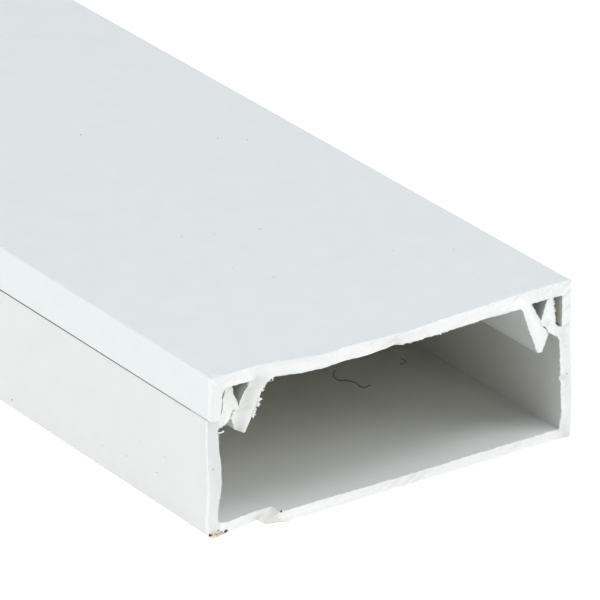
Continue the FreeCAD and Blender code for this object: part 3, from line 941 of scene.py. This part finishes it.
# The faces of a box whose corners count up first by height, then along, then across
BOX_FACES = [(0, 1, 3, 2), (4, 6, 7, 5), (0, 4, 5, 1), (2, 3, 7, 6), (0, 2, 6, 4), (1, 5, 7, 3)]
for name, side in (("painted_seam_shade_left", -1), ("painted_seam_shade_right", 1)):
    reach_across = sorted([(SIDE - SEAM_SHADE_BACK) * side, (SIDE - SEAM_SHADE_FRONT) * side])
    reach_along = (SEAM_SHADE_START, LENGTH - SEAM_SHADE_END)
    reach_up = (SEAM - SEAM_SHADE_FOOT, SEAM - SEAM_SHADE_TOP)
    corners = [
        (x * MM, (NEAR_END + y) * MM, z * MM) for x in reach_across for y in reach_along for z in reach_up
    ]
    strip = bpy.data.meshes.new(name)
    strip.from_pydata(corners, [], BOX_FACES)
    strip.materials.append(SEAM_SHADE_MATERIAL)
    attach(new_object(name, strip), "channel")

# A flake of burr that hangs from the root of the left lip, and the die's bead along the right leg, painted
# near-white and glossier than the lid as a painted highlight
# Painted highlight: a near-white, glossier tone for the bead's bright line
LEG_BEAD_HIGHLIGHT = plain_material("leg_bead_highlight", "#FAFAF6", 0.4)
FLAKE = [(-18.95, 1.95, 10.02), (-18.6, 1.9, 10.0), (-18.3, 1.9, 10.06)]
FLAKE_RADIUS = 0.075
BEAD_ACROSS = 16.12
BEAD_HEIGHT = 9.62
BEAD_START = 1.8
BEAD_END = 1
LEG_BEAD = [(BEAD_ACROSS, along, BEAD_HEIGHT) for along in (BEAD_START, LENGTH / 2, LENGTH - BEAD_END)]
LEG_BEAD_RADIUS = 0.06
for name, body, slot, spots, radius, paint in (
    ("burr_flake", "channel", "channel_upvc", FLAKE, FLAKE_RADIUS, SAWN_CHANNEL),
    ("leg_bead", "lid", "lid_upvc", LEG_BEAD, LEG_BEAD_RADIUS, LEG_BEAD_HIGHLIGHT),
):
    finish_piece(strand(name, spots, radius, paint), body)

# How far a sliver's direction strays from straight out of the rim, and how far at most it leans inwards
STRAY = 0.6
LEAN_IN = 0.2
SLIVERS = slivers_tree()


def torn_edge(name, piece, body, seed, share, zones, paint):
    """Slivers of torn plastic along the parts of a piece's sawn rim that lie in the given zones."""
    luck = random.Random(seed)
    mesh = piece.data
    outward = np.empty(len(mesh.vertices) * 3)
    mesh.attributes["outward"].data.foreach_get("vector", outward)
    spots, sizes, directions = [], [], []
    for number, out in enumerate(outward.reshape(-1, 3)[:RIM_COUNT[piece.name]]):
        place = mesh.vertices[number].co / MM
        for left, right, low, high, least, most in zones:
            if left < place.x < right and low < place.z < high and luck.random() < share:
                spots.append((place.x, place.y - NEAR_END, place.z))
                sizes.append(luck.uniform(least, most))
                directions.append((
                    out[0] + luck.uniform(-STRAY, STRAY), luck.uniform(-STRAY, LEAN_IN),
                    out[2] + luck.uniform(-STRAY, STRAY),
                ))
    slivers = point_piece(name, spots, sizes=sizes, directions=directions)
    return finish_piece(worked_out(slivers, SLIVERS, {"Seed": seed, "Material": paint}), body)


# Zones of a torn rim: left, right, low, high, smallest and largest sliver
LID_TORN = [
    (-15.7, -13.6, 10.7, 14.8, 0.18, 0.36), (0, 14, 14.4, 15, 0.06, 0.16),
    (13.8, 17.5, 9, 14.8, 0.06, 0.14),
]
CHANNEL_TORN = [
    (-19.2, -18.5, 1, 10.6, 0.08, 0.18), (-19, -16, 10, 12, 0.1, 0.25), (18.5, 19.2, 1.5, 10.6, 0.08, 0.18),
    (16, 19, 10, 15, 0.08, 0.2), (-18, 18, 0.9, 1.1, 0.05, 0.12),
]
torn_edge("lid_slivers", lid, "lid", seed=5, share=0.35, zones=LID_TORN, paint=SAWN_LID)
torn_edge(
    "channel_slivers", channel, "channel",
    seed=6, share=0.25, zones=CHANNEL_TORN, paint=SAWN_CHANNEL,
)

# The floor: white to the camera, and a soft white for the light that it throws back up
FLOOR_HALF = 30
FLOOR_DROP = 0.05 * MM
FLOOR_GLOW = 0.96
floor_corners = [
    (x * FLOOR_HALF, y * FLOOR_HALF, -FLOOR_DROP) for x, y in ((-1, -1), (1, -1), (1, 1), (-1, 1))
]
floor_mesh = bpy.data.meshes.new("floor")
floor_mesh.from_pydata(floor_corners, [], [(0, 1, 2, 3)])
floor = new_object("floor", floor_mesh)
floor_paper, tree, shader = new_material("white_paper_sweep")
tree.nodes.remove(shader)
paper = add(tree, "ShaderNodeBsdfDiffuse", inputs={"Color": linear("#FCFCFA")})
shadow = add(tree, "ShaderNodeBsdfDiffuse", inputs={"Color": linear("#5F6060")})
glow = add(tree, "ShaderNodeEmission", inputs={"Color": linear("#FFFFFF"), "Strength": FLOOR_GLOW})
seen = add(tree, "ShaderNodeAddShader", inputs={0: shadow, 1: glow})
ray = add(tree, "ShaderNodeLightPath")
mirrored = add(tree, "ShaderNodeMath", {"operation": "MAXIMUM"}, {
    0: ray.outputs["Is Glossy Ray"], 1: ray.outputs["Is Transmission Ray"],
})
direct = add(tree, "ShaderNodeMath", {"operation": "MAXIMUM"}, {
    0: ray.outputs["Is Camera Ray"], 1: mirrored,
})
surface = add(tree, "ShaderNodeMixShader", inputs={0: direct, 1: paper, 2: seen})
tree.links.new(surface.outputs[0], tree.nodes["Material Output"].inputs["Surface"])
# Only the camera and reflections see the glow, so no light sample is spent on it
floor_paper.cycles.emission_sampling = "NONE"
floor.data.materials.append(floor_paper)

# An even dim room all round, faintly cool, and white where the camera looks past the floor
ROOM = (0.05, 0.052, 0.055, 1)
world = bpy.data.worlds.new("studio")
bpy.context.scene.world = world
world.use_nodes = True
tree = world.node_tree
ray = add(tree, "ShaderNodeLightPath")
room = mix_colour(tree, ray.outputs["Is Camera Ray"], ROOM, linear("#FFFFFF"))
tree.links.new(room, tree.nodes["Background"].inputs["Color"])

# Soft boxes of faintly cool light round the sawn end, facing it
SAWN_END = Vector((0, NEAR_END * MM, HEIGHT / 2 * MM))
BOX_SIZE = 1.2
BOX_AWAY = 2.0


def towards(turn, rise):
    """The direction at a turn round the sawn end, from straight in front of it, and a rise above it."""
    return Vector((math.sin(turn) * math.cos(rise), -math.cos(turn) * math.cos(rise), math.sin(rise)))


def soft_box(name, azimuth, elevation, power, colour):
    """A square soft box in a direction from the sawn end: azimuth 0 in front of it, 90 to its right."""
    light = bpy.data.lights.new(name, "AREA")
    light.size = BOX_SIZE
    light.energy = power
    light.color = linear(colour)[:3]
    away = towards(math.radians(azimuth), math.radians(elevation))
    lamp = new_object(name, light)
    lamp.location = SAWN_END + BOX_AWAY * away
    lamp.rotation_euler = away.to_track_quat("Z", "Y").to_euler()


soft_box("top_box", -20, 80, 23.5, "#F7FCFF")
soft_box("front_box", 0, 35, 4.5, "#F8FCFF")
soft_box("low_left_box", -75, 12, 4, "#FBFDFF")
soft_box("left_box", -95, 30, 3, "#FBFDFF")
soft_box("back_left_box", -120, 30, 23.5, "#FBFDFF")
soft_box("right_box", 50, 40, 14.5, "#F8FCFF")
soft_box("low_right_box", 60, 15, 9, "#F8FCFF")

# The camera, fitted to the long edges and the corners of the sawn face
AZIMUTH = math.radians(-33.398)
ELEVATION = math.radians(23.166)
LENS = 423.22
SENSOR = 36.0
CAMERA_PLACE = (-0.33165, -0.98584, 0.27097)
eye = bpy.data.cameras.new("camera")
eye.lens = LENS
eye.sensor_width = SENSOR
eye.clip_start = 0.01
eye.clip_end = 100
camera = new_object("camera", eye)
camera.location = CAMERA_PLACE
camera.rotation_euler = (-towards(AZIMUTH, ELEVATION)).to_track_quat("-Z", "Y").to_euler()
bpy.context.scene.camera = camera
bpy.context.scene.view_settings.view_transform = "Standard"
